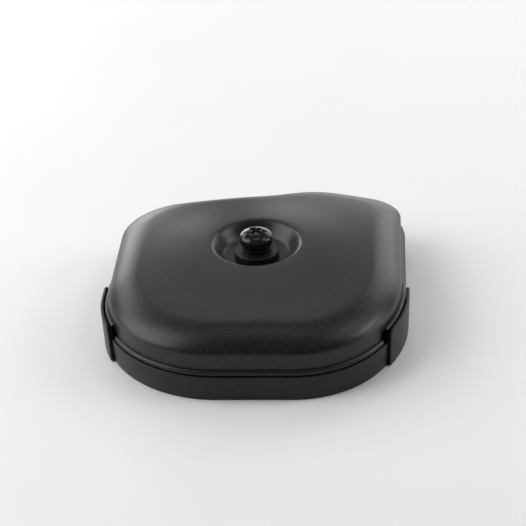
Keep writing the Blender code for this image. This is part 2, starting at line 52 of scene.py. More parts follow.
# Outline of the tray's outer wall: corner x, y and rounding radius,
# anticlockwise from the front left.
CORNERS = (
    (-47.5, -41.2, 34.0),
    (20.7, -47.7, 28.5),
    (40.2, -27.0, 42.0),
    (46.9, 34.0, 10.9),
    (20.7, 42.9, 27.5),
    (5.3, 39.4, 25.4),
    (-39.8, 38.6, 18.5),
)
SOFT_RADIUS = 7.0
ARC_STEP = radians(2.0)
EDGE_STEP = 2.0

# Tray
BAND_HEIGHT = 7.64
BAND_DRAFT = 0.3
WALL_INNER = 3.0
REBATE_INSET = 1.3
REBATE_Z = 7.15
FLOOR_TOP = 2.0
CHAMBER_OUTER = 5.0
CHAMBER_INNER = 6.2
CHAMBER_TOP = 9.6
SHROUD_OUT = 1.0
SHROUD_TOP = 11.7
CHANNEL_IN = 1.7
SHROUD_ANGLES = {"right": (-43.2, -13.2), "left": (180.8, 208.2)}
POST_RADIUS = 5.5
POST_TOP = 10.3

# Carburettor seat
INTAKE = Vector((-1.0, 21.0))
INTAKE_RADIUS = 7.5
SEAT_TOP = 6.6
SEAT_FACE = 2.6
SEAT_X = (-27.0, 29.0)
SEAT_FRONT = 4.8
SEAT_WALL = 2.0
BOLTS = {"left": INTAKE - Vector((15.5, 0.0)), "right": INTAKE + Vector((15.5, 0.0))}
COUNTERBORE_FLOOR = 4.2
COUNTERBORE_RADIUS = 5.2
BOLT_RADIUS = 3.8
INSERT_RADIUS = 3.9
INSERT_FLOOR = 3.0

# Cutters reach up to here, clear of everything in the tray.
ABOVE = 12.0

# Choke
PIVOT = Vector((18.0, 30.8))
CHOKE_SWING = 66.0
SHUTTER_RADIUS = 8.5
SHUTTER_Z = (6.9, 7.7)
LEVER_Z = (0.5, 2.2)
LEVER_LENGTH = 16.5
SLOT_MARGIN = 26.0
HUB_RADIUS = 3.0
ARM_RADIUS = 3.8

# Cover
COVER_RIM = 7.7
BEAD_TOP = 9.25
BEAD_INSET = 0.35
SKIRT_INSET = 1.25
NOTCH_TOP = 11.0
NOTCH_BEAD_TOP = 12.0
NOTCH_BEAD_INSET = 0.25
NOTCH_MARGIN = 2.4
SKIRT_TOP = 13.3
FILLET_WIDTH = 9.0
FILLET_HEIGHT = 4.8
CROWN_HEIGHT = 4.3
CROWN_RADIUS = 46.0
PEAK_HEIGHT = 1.5
PEAK_RADIUS = 32.0
COVER_WALL = 1.6
DIMPLE_RADIUS = 13.4
DIMPLE_FLOOR_RADIUS = 8.7
DIMPLE_DEPTH = 5.1
COVER_HOLE = 3.0
COVER_TOP = SKIRT_TOP + FILLET_HEIGHT + CROWN_HEIGHT + PEAK_HEIGHT
DIMPLE_FLOOR = COVER_TOP - DIMPLE_DEPTH

# Element
ELEMENT_Z = (10.3, 11.3)
ELEMENT_INSET = 4.7
GRID_PITCH = 9.0
GRID_BAR = 1.4
FOAM_Z = 12.0
FOAM_HOLE = 11.5


# ---- outline

def corner_frames():
    """For each corner: its place, the edge directions, the turning angle and the radius."""
    frames = []
    count = len(CORNERS)
    for i, (x, y, radius) in enumerate(CORNERS):
        here = Vector((x, y))
        before = Vector(CORNERS[i - 1][:2])
        after = Vector(CORNERS[(i + 1) % count][:2])
        come = (here - before).normalized()
        leave = (after - here).normalized()
        turn = atan2(come.x * leave.y - come.y * leave.x, come.dot(leave))
        frames.append((here, come, leave, turn, radius))
    return frames


FRAMES = corner_frames()


def softened(radius, inset, turn):
    """Corner radius after an inset. Outward corners never get sharper than SOFT_RADIUS."""
    if turn < 0.0:
        return radius + inset
    spare = radius - SOFT_RADIUS
    return SOFT_RADIUS + spare * exp(-inset / spare)


def edge_pieces(index):
    here, _, _, turn, radius = FRAMES[index]
    there, _, _, next_turn, next_radius = FRAMES[(index + 1) % len(FRAMES)]
    length = (there - here).length
    length -= radius * tan(abs(turn) / 2.0)
    length -= next_radius * tan(abs(next_turn) / 2.0)
    return max(1, round(length / EDGE_STEP))


@lru_cache(None)
def section(inset):
    """The outline moved inward by inset, always with the same point count."""
    arcs = []
    for here, come, leave, turn, radius in FRAMES:
        side_in = Vector((-come.y, come.x))
        side_out = Vector((-leave.y, leave.x))
        corner = here + (side_in + side_out) * inset / (1.0 + side_in.dot(side_out))
        side = 1.0 if turn > 0.0 else -1.0
        round_by = softened(radius, inset, turn)
        start = corner - come * round_by * tan(abs(turn) / 2.0)
        centre = start + side_in * round_by * side
        steps = max(2, round(abs(turn) / ARC_STEP))
        arcs.append([centre + Matrix.Rotation(turn * k / steps, 2) @ (start - centre)
                     for k in range(steps + 1)])
    points = []
    for i, bend in enumerate(arcs):
        following = arcs[(i + 1) % len(arcs)][0]
        pieces = edge_pieces(i)
        points.extend(bend)
        points.extend(bend[-1].lerp(following, k / pieces) for k in range(1, pieces))
    return points


def levels(profile):
    """The outline at each (inset, z) of a profile."""
    return [[(*point, z) for point in section(inset)] for inset, z in profile]


def polar(angle, radius=1.0, centre=(0.0, 0.0)):
    turn = radians(angle)
    return Vector((centre[0] + radius * cos(turn), centre[1] + radius * sin(turn)))


def outline_at(inset, angle):
    """The point where a ray from the origin at this angle crosses the outline."""
    ray = polar(angle)
    points = section(inset)
    for start, end in zip(points, points[1:] + points[:1]):
        edge = end - start
        across = ray.x * edge.y - ray.y * edge.x
        if abs(across) < 1e-9:
            continue
        along_ray = (start.x * edge.y - start.y * edge.x) / across
        along_edge = (start.x * ray.y - start.y * ray.x) / across
        if along_ray > 0.0 and 0.0 <= along_edge <= 1.0:
            return ray * along_ray
    raise ValueError("the ray misses the outline")


def even_circle(points, radius):
    """A circle with even spacing, turned to line up with a ring of points."""
    count = len(points)
    first = atan2(points[0].y, points[0].x)
    drift = 0.0
    for i, point in enumerate(points):
        ahead = atan2(point.y, point.x) - first
        drift += ahead % tau - tau * i / count
    start = first + drift / count
    return [polar(degrees(start + tau * i / count), radius) for i in range(count)]


def circle_rows(points, profile):
    """Circles that line up with a ring of points, at each (radius, z) of a profile."""
    return [[(*point, z) for point in even_circle(points, radius)] for radius, z in profile]


def circle_points(centre, radius, count=96):
    return [polar(360.0 * k / count, radius, centre) for k in range(count)]


def hull(points):
    return [points[i] for i in convex_hull_2d(points)]


# ---- meshes

def link_mesh(name, bm):
    """Turns a bmesh into an object of the scene."""
    mesh = bpy.data.meshes.new(name)
    bm.to_mesh(mesh)
    bm.free()
    thing = bpy.data.objects.new(name, mesh)
    bpy.context.scene.collection.objects.link(thing)
    return thing


def add_mesh(name, bm, place=(0.0, 0.0, 0.0)):
    """Turns a bmesh drawn in millimetres into an object at place."""
    bmesh.ops.scale(bm, vec=(MM, MM, MM), verts=bm.verts)
    bmesh.ops.translate(bm, vec=Vector(place) * MM, verts=bm.verts)
    return link_mesh(name, bm)


def loft(name, sections, ring=False):
    """Joins loops of (x, y, z) points that all have the same count.

    The last loop joins the first if ring is true, and otherwise both ends are capped.
    """
    bm = bmesh.new()
    rows = [[bm.verts.new(point) for point in row] for row in sections]
    pairs = list(zip(rows, rows[1:]))
    if ring:
        pairs.append((rows[-1], rows[0]))
    count = len(rows[0])
    for low, high in pairs:
        for i in range(count):
            j = (i + 1) % count
            bm.faces.new((low[i], low[j], high[j], high[i]))
    if not ring:
        bm.faces.new(rows[0])
        bm.faces.new(rows[-1])
    bmesh.ops.recalc_face_normals(bm, faces=bm.faces)
    return add_mesh(name, bm)


def prism(name, points, low, high):
    return loft(name, [[(x, y, z) for x, y in points] for z in (low, high)])


def cylinder(name, centre, radius, low, high, count=96):
    return prism(name, circle_points(centre, radius, count), low, high)


def box(name, centre, size, turn=0.0):
    bm = bmesh.new()
    bmesh.ops.create_cube(bm, size=1.0)
    bmesh.ops.scale(bm, vec=size, verts=bm.verts)
    bmesh.ops.rotate(bm, cent=(0.0, 0.0, 0.0), verts=bm.verts,
                     matrix=Matrix.Rotation(turn, 3, 'Z'))
    return add_mesh(name, bm, centre)


def ring_row(radius, z, steps, centre=(0.0, 0.0)):
    """A ring of points. Radius and z are numbers, or functions of the turn from 0 to 1."""
    row = []
    for k in range(steps):
        reach = radius(k / steps) if callable(radius) else radius
        height = z(k / steps) if callable(z) else z
        row.append((*polar(360.0 * k / steps, reach, centre), height))
    return row


def turned(name, profile, centre=(0.0, 0.0), steps=96, ring=True):
    """Spins a (radius, z) profile. A ring's profile is closed; a solid's ends on the axis."""
    rows = [ring_row(max(radius, ON_AXIS), z, steps, centre) for radius, z in profile]
    return loft(name, rows, ring=ring)


def spindle(name, profile, centre=(0.0, 0.0), steps=64):
    """A solid spun from (radius, z) pairs, with flat ends that close on the axis."""
    closed = [(0.0, profile[0][1]), *profile, (0.0, profile[-1][1])]
    return turned(name, closed, centre, steps, ring=False)


def arc(centre, radius, first, last, steps):
    """Points on an arc in the profile's plane, both ends included."""
    return [tuple(polar(first + (last - first) * k / steps, radius, centre))
            for k in range(steps + 1)]


def rounded_ring(name, inner, outer, low, high, edge, centre=(0.0, 0.0), steps=96):
    """A flat ring whose four edges are rounded."""
    return turned(name, rounded_corners(inner, outer, low, high, edge), centre, steps)


def rounded_corners(inner, outer, low, high, edge, steps=4):
    """A closed (radius, z) rectangle with rounded corners."""
    profile = []
    for cx, cz, first in ((outer - edge, high - edge, 0.0), (inner + edge, high - edge, 90.0),
                          (inner + edge, low + edge, 180.0), (outer - edge, low + edge, 270.0)):
        profile += arc((cx, cz), edge, first, first + 90.0, steps)
    return profile


def strip_ring(name, outer, inner, low, high, edge):
    """A strip that follows the outline between two insets, with rounded edges."""
    return loft(name, levels(rounded_corners(outer, inner, low, high, edge)), ring=True)


def join(name, parts):
    """One object from several that don't touch."""
    bm = bmesh.new()
    for part in parts:
        bm.from_mesh(part.data)
        bpy.data.objects.remove(part, do_unlink=True)
    return link_mesh(name, bm)


def bake(thing):
    """Replaces the object's mesh with the result of its modifiers."""
    graph = bpy.context.evaluated_depsgraph_get()
    graph.update()
    mesh = bpy.data.meshes.new_from_object(thing.evaluated_get(graph))
    thing.modifiers.clear()
    thing.data = mesh
    return thing


def combine(thing, other, operation):
    """Joins other to thing, cuts it away or keeps the overlap, and removes other."""
    step = thing.modifiers.new(operation, 'BOOLEAN')
    step.operation = operation
    step.solver = 'MANIFOLD'
    step.object = other
    bake(thing)
    bpy.data.objects.remove(other, do_unlink=True)
    return thing


def add(thing, other):
    return combine(thing, other, 'UNION')


def cut(thing, other):
    return combine(thing, other, 'DIFFERENCE')


def bevel(thing, width, segments=3, angle=40.0):
    step = thing.modifiers.new("bevel", 'BEVEL')
    step.width = width * MM
    step.segments = segments
    step.limit_method = 'ANGLE'
    step.angle_limit = radians(angle)
    step.harden_normals = False
    return bake(thing)


def finish_piece(thing, surface, body, node, sharp=32.0):
    """Gives a finished mesh its material and its body, and hides the CAD node it stands for."""
    thing.data.materials.clear()
    thing.data.materials.append(surface)
    thing.data.shade_smooth()
    thing.data.set_sharp_from_angle(angle=radians(sharp))
    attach(thing, body)
    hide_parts(node)


# ---- materials

def plug(tree, socket, value):
    """Links another node's output to a socket, or gives the socket a plain value."""
    if isinstance(value, bpy.types.NodeSocket):
        tree.links.new(value, socket)
    else:
        socket.default_value = value


def add_node(tree, kind, sockets, **settings):
    """Makes a shader node with its settings, and fills its sockets by name or number."""
    made = tree.nodes.new("ShaderNode" + kind)
    for key, value in settings.items():
        setattr(made, key, value)
    for key, value in sockets.items():
        plug(tree, made.inputs[key], value)
    return made


class Look:
    """A Principled material built from procedural nodes, with sizes in millimetres."""

    def __init__(self, name, colour, roughness, metallic=0.0):
        self.material = bpy.data.materials.new(name)
        self.material.use_nodes = True
        self.tree = self.material.node_tree
        self.shader = self.tree.nodes["Principled BSDF"]
        self.set("Base Color", (*colour, 1.0))
        self.set("Roughness", roughness)
        self.set("Metallic", metallic)
        self.place = self.node("TexCoord", {}).outputs["Object"]
        self.normal = None

    def node(self, kind, sockets, **settings):
        return add_node(self.tree, kind, sockets, **settings)

    def noise(self, size, detail=3.0, stretch=None, distortion=0.0):
        """Cloud noise whose blobs are about size millimetres across."""
        source = self.place
        if stretch:
            mapping = self.node("Mapping", {"Vector": source, "Scale": stretch})
            source = mapping.outputs["Vector"]
        sockets = {"Vector": source, "Scale": 1.0 / (size * MM), "Detail": detail,
                   "Distortion": distortion}
        return self.node("TexNoise", sockets).outputs["Fac"]

    def cells(self, size, feature='F1'):
        sockets = {"Vector": self.place, "Scale": 1.0 / (size * MM)}
        return self.node("TexVoronoi", sockets, feature=feature).outputs["Distance"]

    def ramp(self, value, stops):
        """A colour ramp through (position, grey) stops."""
        made = self.node("ValToRGB", {"Fac": value})
        for point, (position, grey) in zip(made.color_ramp.elements, stops):
            point.position = position
            point.color = (grey, grey, grey, 1.0)
        return made.outputs["Color"]

    def mix(self, share, first, second):
        """From first to second, each a colour or an output."""
        colours = [(*value, 1.0) if isinstance(value, tuple) else value
                   for value in (first, second)]
        sockets = {0: share, 6: colours[0], 7: colours[1]}
        return self.node("Mix", sockets, data_type='RGBA').outputs[2]

    def patches(self, size, low, high, detail=3.0, **shape):
        """A mask of soft patches: 0 where the noise is below low, 1 above high."""
        return self.ramp(self.noise(size, detail, **shape), [(low, 0.0), (high, 1.0)])

    def colour(self, share, first, second):
        """Base colour that goes from first to second with share."""
        self.set("Base Color", self.mix(share, first, second))

    def gloss(self, size, low, high, detail=3.0):
        """Roughness that drifts between two values in patches about size millimetres across."""
        self.set("Roughness", self.ramp(self.noise(size, detail), [(0.3, low), (0.75, high)]))

    def set(self, name, value):
        plug(self.tree, self.shader.inputs[name], value)

    def bump(self, height, depth, strength=1.0):
        """Adds a bump of depth millimetres to those already made."""
        sockets = {"Height": height, "Strength": strength, "Distance": depth * MM}
        if self.normal is not None:
            sockets["Normal"] = self.normal
        self.normal = self.node("Bump", sockets).outputs["Normal"]
        self.set("Normal", self.normal)


def moulded_plastic(name, dark, light, rough, specular=0.5):
    """Satin black moulding: fine spark-eroded grain and faint flow variation."""
    roughness_range = 0.32
    look = Look(name, dark, rough)
    body = look.mix(look.patches(14.0, 0.35, 0.7), dark, light)
    speck = look.noise(0.55)
    pale = tuple(3.0 * channel for channel in light)
    look.colour(look.ramp(speck, [(0.48, 0.0), (0.64, 1.0)]), body, pale)
    sockets = {0: speck, 1: roughness_range, 2: rough - roughness_range / 2.0}
    blend = look.node("Math", sockets, operation='MULTIPLY_ADD')
    look.set("Roughness", blend.outputs[0])
    look.bump(look.noise(0.5), 0.035, 0.7)
    look.bump(look.noise(9.0, 1.0), 0.02, 0.25)
    look.set("Specular IOR Level", specular)
    return look.material


def rubber(name, colour):
    """Matt rubber with a dusty bloom."""
    look = Look(name, colour, 0.72)
    look.bump(look.noise(0.18), 0.02, 0.5)
    dust = look.ramp(look.noise(2.5, 4.0), [(0.45, 0.0), (0.75, 0.35)])
    look.colour(dust, colour, (0.05, 0.05, 0.048))
    return look.material


def black_steel(name):
    """Glossy black-oxide steel, slightly worn through along its edges."""
    black = (0.028, 0.030, 0.031)
    look = Look(name, black, 0.16, 0.75)
    pointiness = look.node("NewGeometry", {}).outputs["Pointiness"]
    worn = look.ramp(pointiness, [(0.54, 0.0), (0.66, 1.0)])
    look.colour(worn, black, (0.13, 0.135, 0.13))
    look.gloss(1.4, 0.13, 0.24)
    look.bump(look.noise(0.9, 2.0), 0.004, 0.4)
    return look.material


def oxide_washer(name):
    """Duller black oxide with a warm cast."""
    look = Look(name, (0.020, 0.016, 0.015), 0.34, 0.55)
    look.colour(look.patches(2.2, 0.4, 0.7), (0.018, 0.015, 0.014), (0.034, 0.026, 0.023))
    look.gloss(1.0, 0.30, 0.42)
    look.bump(look.noise(0.5, 2.0), 0.004, 0.4)
    return look.material


def plated_steel(name, colour, rough=0.28):
    """Zinc plating: faint crystal blotches and fine rolling lines."""
    look = Look(name, colour, rough, 1.0)
    darker = tuple(0.72 * channel for channel in colour)
    look.colour(look.ramp(look.cells(1.6), [(0.2, 0.0), (0.9, 1.0)]), colour, darker)
    sheen = [(0.3, rough - 0.06), (0.7, rough + 0.14)]
    look.set("Roughness", look.ramp(look.noise(1.2, 4.0), sheen))
    look.bump(look.noise(0.6, 2.0, stretch=(0.08, 1.0, 1.0)), 0.004, 0.3)
    return look.material


def brass(name):
    """Brass with brown tarnish and turning marks."""
    look = Look(name, (0.62, 0.44, 0.15), 0.3, 1.0)
    tarnish = look.patches(1.8, 0.45, 0.8, 4.0)
    look.colour(tarnish, (0.66, 0.47, 0.17), (0.30, 0.19, 0.07))
    look.bump(look.noise(0.2, 2.0, stretch=(0.1, 0.1, 3.0)), 0.006, 0.5)
    return look.material


def nylon(name):
    """Milky natural nylon that lets some light through."""
    look = Look(name, (0.70, 0.68, 0.60), 0.42)
    look.set("Subsurface Weight", 0.25)
    look.set("Subsurface Radius", (0.002, 0.0018, 0.0012))
    look.bump(look.noise(0.3, 2.0), 0.01, 0.4)
    return look.material


def fibre_sheet(name):
    """Pressed gasket fibre: grey-green with short pale strands."""
    look = Look(name, (0.10, 0.115, 0.10), 0.85)
    strands = look.patches(0.5, 0.5, 0.68, 5.0, stretch=(1.0, 0.25, 1.0), distortion=1.5)
    look.colour(strands, (0.085, 0.10, 0.09), (0.22, 0.23, 0.20))
    look.bump(strands, 0.02, 0.6)
    return look.material


def open_foam(name):
    """Charcoal reticulated foam: lighter struts, with painted shade that darkens the pores
    between them.
    """
    # The near-black pore colour is painted shade in the hollows of the foam.
    pore_shade, thin_strut = (0.008, 0.009, 0.010), (0.045, 0.05, 0.055)
    thick_strut = (0.13, 0.14, 0.15)
    look = Look(name, (0.05, 0.055, 0.06), 0.95)
    coarse = look.ramp(look.cells(0.75, 'DISTANCE_TO_EDGE'), [(0.05, 1.0), (0.32, 0.0)])
    fine = look.ramp(look.cells(0.38, 'DISTANCE_TO_EDGE'), [(0.05, 1.0), (0.35, 0.0)])
    look.colour(coarse, look.mix(fine, pore_shade, thin_strut), thick_strut)
    look.bump(coarse, 0.25, 0.8)
    look.bump(fine, 0.10, 0.6)
    look.set("Sheen Weight", 0.15)
    return look.material


def wire(name):
    """Steel wire with dull patches."""
    look = Look(name, (0.42, 0.42, 0.40), 0.34, 1.0)
    look.colour(look.patches(3.0, 0.4, 0.75, 4.0), (0.46, 0.46, 0.44), (0.22, 0.22, 0.21))
    return look.material


# ---- cover

def bead_profile(low, high, outer=BEAD_INSET):
    """(inset, z) round a bead that stands out from the skirt, bottom to top."""
    steps, reach = 8, 80.0
    full_below, slack_above = 0.35, 0.8
    profile = []
    for k in range(steps + 1):
        angle = radians(-reach + 2.0 * reach * k / steps)
        swell = cos(angle) ** (full_below if angle < 0.0 else slack_above)
        profile.append((SKIRT_INSET - (SKIRT_INSET - outer) * swell,
                        (low + high) / 2.0 + (high - low) / 2.0 * sin(angle)))
    return profile


def crown(point):
    """Rise of the top above the fillet: a broad bow, and a low peak round the middle."""
    bow = CROWN_HEIGHT * (1.0 - (point.length / CROWN_RADIUS) ** 2)
    near = max(0.0, 1.0 - (point.length / PEAK_RADIUS) ** 2)
    return bow + PEAK_HEIGHT * near ** 2


def dome_row(points, run, fillet, height):
    """Heights for one ring of the dome, this far inside the skirt."""
    near = min(run / fillet, 1.0)
    rise = sqrt(1.0 - (1.0 - near) ** 2)
    return [(p.x, p.y, SKIRT_TOP + (height + crown(p)) * rise) for p in points]


def skin_rows(skirt, fillet, height, dimple, floor_radius, floor):
    """One face of the cover, from the foot of the dome to the foot of the dimple."""
    fillet_steps, top_steps, wall_steps = 28, 16, 24
    rows = []
    for k in range(fillet_steps + 1):
        run = fillet * (1.0 - cos(radians(90.0 * k / fillet_steps)))
        rows.append(dome_row(section(skirt + run), run, fillet, height))
    last = section(skirt + fillet)
    circle = even_circle(last, dimple)
    for k in range(1, top_steps + 1):
        points = [a.lerp(b, k / top_steps) for a, b in zip(last, circle)]
        rows.append(dome_row(points, fillet, fillet, height))
    rim = SKIRT_TOP + height + crown(circle[0])
    wall = []
    for k in range(1, wall_steps + 1):
        share = k / wall_steps
        ease = 0.5 - 0.5 * cos(pi * share)
        wall.append((dimple + (floor_radius - dimple) * share, rim + (floor - rim) * ease))
    return rows + circle_rows(last, wall)


def cover_rows():
    """Up the outside, down through the screw hole and back along the inside."""
    washer_seat = 6.5
    edge, nick = 0.2, 0.06
    dimple_wall, floor_wall = 0.9, 1.1
    rows = levels(bead_profile(COVER_RIM, BEAD_TOP))
    rows += levels([(SKIRT_INSET, BEAD_TOP + 0.05), (SKIRT_INSET, (BEAD_TOP + SKIRT_TOP) / 2.0)])
    rows += skin_rows(SKIRT_INSET, FILLET_WIDTH, FILLET_HEIGHT, DIMPLE_RADIUS,
                      DIMPLE_FLOOR_RADIUS, DIMPLE_FLOOR)
    last = section(SKIRT_INSET + FILLET_WIDTH)
    bottom = DIMPLE_FLOOR - COVER_WALL
    rows += circle_rows(last, (
        (washer_seat, DIMPLE_FLOOR), (COVER_HOLE + edge, DIMPLE_FLOOR),
        (COVER_HOLE + nick, DIMPLE_FLOOR - nick), (COVER_HOLE, DIMPLE_FLOOR - edge),
        (COVER_HOLE, bottom + edge), (COVER_HOLE + edge, bottom)))
    inside = skin_rows(SKIRT_INSET + COVER_WALL, FILLET_WIDTH - COVER_WALL,
                       FILLET_HEIGHT - COVER_WALL, DIMPLE_RADIUS + dimple_wall,
                       DIMPLE_FLOOR_RADIUS + floor_wall, bottom)
    rows += reversed(inside)
    inner = SKIRT_INSET + COVER_WALL
    return rows + levels([(inner, COVER_RIM + 0.15), (inner - 0.15, COVER_RIM)])


def notch_bead(first, last):
    """The stretch of bead that runs along the top of a raised rim, a loop per degree."""
    root = SKIRT_INSET + 0.5
    profile = [(root, NOTCH_TOP - 0.04)]
    profile += bead_profile(NOTCH_TOP - 0.05, NOTCH_BEAD_TOP, NOTCH_BEAD_INSET)
    profile.append((root, NOTCH_BEAD_TOP))
    count = round(last - first)
    loops = []
    for k in range(count + 1):
        angle = first + (last - first) * k / count
        loops.append([(*outline_at(inset, angle), z) for inset, z in profile])
    return loft("notch_bead", loops)


def make_cover(look):
    """Domed cover. Behind each shroud its rim is raised to let the air in."""
    cover = loft("cover_shell", cover_rows(), ring=True)
    for first, last in SHROUD_ANGLES.values():
        gap = (first - NOTCH_MARGIN, last + NOTCH_MARGIN)
        cut(cover, wall_strip("notch", -0.5, WALL_INNER + 1.0, gap, 5.0, NOTCH_TOP))
        add(cover, notch_bead(first, last))
    finish_piece(cover, look, "cover", "air_cover")


# ---- tray

def tray_shell():
    """Floor and outer wall, with a rounded edge and a step for the seal."""
    foot, lip, nick, ease, root = 0.35, 0.2, 0.08, 0.15, 0.6
    stations = [(BAND_DRAFT + foot, 0.0), (BAND_DRAFT + 0.1, 0.1), (BAND_DRAFT, foot)]
    stations += arc((lip, BAND_HEIGHT - lip), lip, 180.0, 90.0, 5)
    stations += [(REBATE_INSET - nick, BAND_HEIGHT), (REBATE_INSET, BAND_HEIGHT - nick),
                 (REBATE_INSET, REBATE_Z), (WALL_INNER - ease, REBATE_Z),
                 (WALL_INNER, REBATE_Z - ease), (WALL_INNER, FLOOR_TOP + root),
                 (WALL_INNER + 0.3 * root, FLOOR_TOP + 0.3 * root),
                 (WALL_INNER + root, FLOOR_TOP)]
    return loft("tray_moulding", levels(stations))


def shroud_profile(outer, inner, top, foot):
    """Closed (inset, z) loop of a shroud. The foot reaches into the tray's wall."""
    edge, base = 0.42, 0.02
    loop = [(outer + 0.5, base), (outer + 0.3, base + 0.2), (outer, top - edge)]
    loop += arc((outer + edge, top - edge), edge, 180.0, 90.0, 4)[1:]
    loop += arc((inner - edge, top - edge), edge, 90.0, 0.0, 4)
    loop += [(inner, 7.3), (foot, 7.0), (foot, FLOOR_TOP + 0.1), (1.0, FLOOR_TOP - 0.1),
             (1.0, base)]
    return loop


def make_shroud(side):
    """An outset wall with rounded upper corners at both ends."""
    first, last = SHROUD_ANGLES[side]
    corner, wall_distance = 1.5, 46.0
    span = radians(last - first) * wall_distance
    stops = [0.0, 0.05, 0.2, 0.45, 0.8, 1.1, 1.4]
    steps = 24
    along = stops + [corner + (span - 2 * corner) * k / steps for k in range(steps + 1)]
    along += [span - stop for stop in reversed(stops)]
    loops = []
    for distance in along:
        angle = first + (last - first) * distance / span
        near_end = min(distance, span - distance)
        drop = 0.0
        if near_end < corner:
            drop = corner - sqrt(corner ** 2 - (corner - near_end) ** 2)
        slim = 0.2 * max(0.0, 1.0 - near_end / 0.3) ** 2
        foot = 0.8 if near_end < corner else 0.0
        loop = []
        for inset, z in shroud_profile(-SHROUD_OUT + slim, 0.0, SHROUD_TOP - drop, foot):
            loop.append((*outline_at(round(inset, 4), angle), z))
        loops.append(loop)
    return loft("shroud_" + side, loops)


def wall_strip(name, outer, inner, angles, low, high):
    """A stretch of wall between two insets and two angles."""
    first, last = angles
    count = max(2, round((last - first) / 0.8))
    turns = [first + (last - first) * k / count for k in range(count + 1)]
    points = [outline_at(outer, turn) for turn in turns]
    points += [outline_at(inner, turn) for turn in reversed(turns)]
    return prism(name, points, low, high)


def inlet_windows():
    """Three openings from each shroud's channel into the tray."""
    size, height = (4.6, 2.6, 3.2), 4.6
    boxes = []
    for first, last in SHROUD_ANGLES.values():
        for share in (0.22, 0.5, 0.78):
            angle = first + (last - first) * share
            middle = (outline_at(CHANNEL_IN, angle) + outline_at(WALL_INNER, angle)) / 2.0
            ahead = outline_at(CHANNEL_IN, angle + 1.0) - outline_at(CHANNEL_IN, angle - 1.0)
            turn = atan2(ahead.y, ahead.x)
            boxes.append(box("window", (*middle, height), size, turn))
    return bevel(join("windows", boxes), 0.35)


def seat_slab(name, low, high, margin):
    """The tray's inside behind the seat's front edge, less a margin on its three free sides."""
    reach = 60.0
    slab = prism(name, section(WALL_INNER - 0.4), low, high)
    middle = (SEAT_X[0] + SEAT_X[1]) / 2.0
    limit = box("limit", (middle, SEAT_FRONT + margin + reach / 2.0, 0.0),
                (SEAT_X[1] - SEAT_X[0] - 2.0 * margin, reach, 20.0))
    return combine(slab, limit, 'INTERSECT')


def flange_pocket():
    """The pocket under the seat, and the fan in which the lever swings."""
    pocket = seat_slab("flange_pocket", -1.0, SEAT_FACE, SEAT_WALL)
    bevel(pocket, 0.4, angle=60.0)
    swing = CHOKE_SWING / 2.0 + SLOT_MARGIN
    fan = [PIVOT, *(Vector(point) for point in arc(PIVOT, 22.0, 90.0 - swing, 90.0 + swing, 10))]
    return add(pocket, prism("lever_slot", fan, -1.0, SEAT_FACE - 0.01))


def mouth(radius, top, chamfer=0.3):
    """How a cutter's profile starts for a bore with a chamfered upper edge."""
    return [(radius + chamfer, ABOVE), (radius + chamfer, top), (radius, top - chamfer)]


def hole_cutters():
    """Stepped and plain cutters for the bores, none of which touch."""
    profile = mouth(INTAKE_RADIUS, SEAT_TOP, 0.35) + [(INTAKE_RADIUS, 0.0)]
    cutters = [spindle("bore", profile, INTAKE, 96)]
    profile = mouth(COUNTERBORE_RADIUS, SEAT_TOP)
    profile += [(COUNTERBORE_RADIUS, COUNTERBORE_FLOOR), (BOLT_RADIUS, COUNTERBORE_FLOOR),
                (BOLT_RADIUS, 0.0)]
    cutters += [spindle("bolt_bore", profile, centre) for centre in BOLTS.values()]
    profile = ((HUB_RADIUS + 0.3, ABOVE), (HUB_RADIUS + 0.3, 0.0))
    cutters.append(spindle("pivot_bore", profile, PIVOT))
    return join("bores", cutters)


def floor_ribs():
    """Low stiffening ribs that fan out from the post across the front of the floor."""
    near, far, wide, high = 4.5, 33.0, 1.2, 2.4
    ribs = []
    for angle in (200.0, 235.0, 270.0, 305.0, 340.0):
        middle = polar(angle, (near + far) / 2.0)
        rib = box("rib", (*middle, high), (far - near, wide, high), radians(angle))
        ribs.append(bevel(rib, 0.25, 2))
    return ribs


def make_tray(look):
    """One moulding: band, shrouds, windows, seat, chamber wall, post and ribs."""
    tray = tray_shell()
    for side, (first, last) in SHROUD_ANGLES.items():
        gap = (first + 2.0, last - 2.0)
        cut(tray, wall_strip("channel", -0.6, CHANNEL_IN, gap, FLOOR_TOP, 14.0))
        add(tray, make_shroud(side))
    cut(tray, inlet_windows())
    add(tray, bevel(seat_slab("seat_block", 0.4, SEAT_TOP, 0.0), 0.3, angle=60.0))
    add(tray, strip_ring("chamber_wall", CHAMBER_OUTER, CHAMBER_INNER, 1.0, CHAMBER_TOP, 0.3))
    profile = ((4.2, POST_TOP), (POST_RADIUS - 0.3, POST_TOP),
               (POST_RADIUS - 0.08, POST_TOP - 0.08), (POST_RADIUS, POST_TOP - 0.3),
               (POST_RADIUS, 2.8), (POST_RADIUS + 0.25, 2.2), (POST_RADIUS + 0.8, 1.7),
               (POST_RADIUS + 0.8, 1.0))
    add(tray, spindle("post", profile, steps=72))
    for rib in floor_ribs():
        add(tray, rib)
    cut(tray, flange_pocket())
    cut(tray, hole_cutters())
    profile = mouth(INSERT_RADIUS, POST_TOP) + [(INSERT_RADIUS, INSERT_FLOOR)]
    cut(tray, spindle("insert_bore", profile, steps=72))
    finish_piece(tray, look, "tray", "base_case")


# ---- fittings on the tray

def thread_wave(turn, z):
    """Triangle wave of a right-hand M5 thread: from 0 to 1 and back in each pitch."""
    pitch = 0.8
    return abs(((z / pitch - turn) % 1.0) * 2.0 - 1.0)


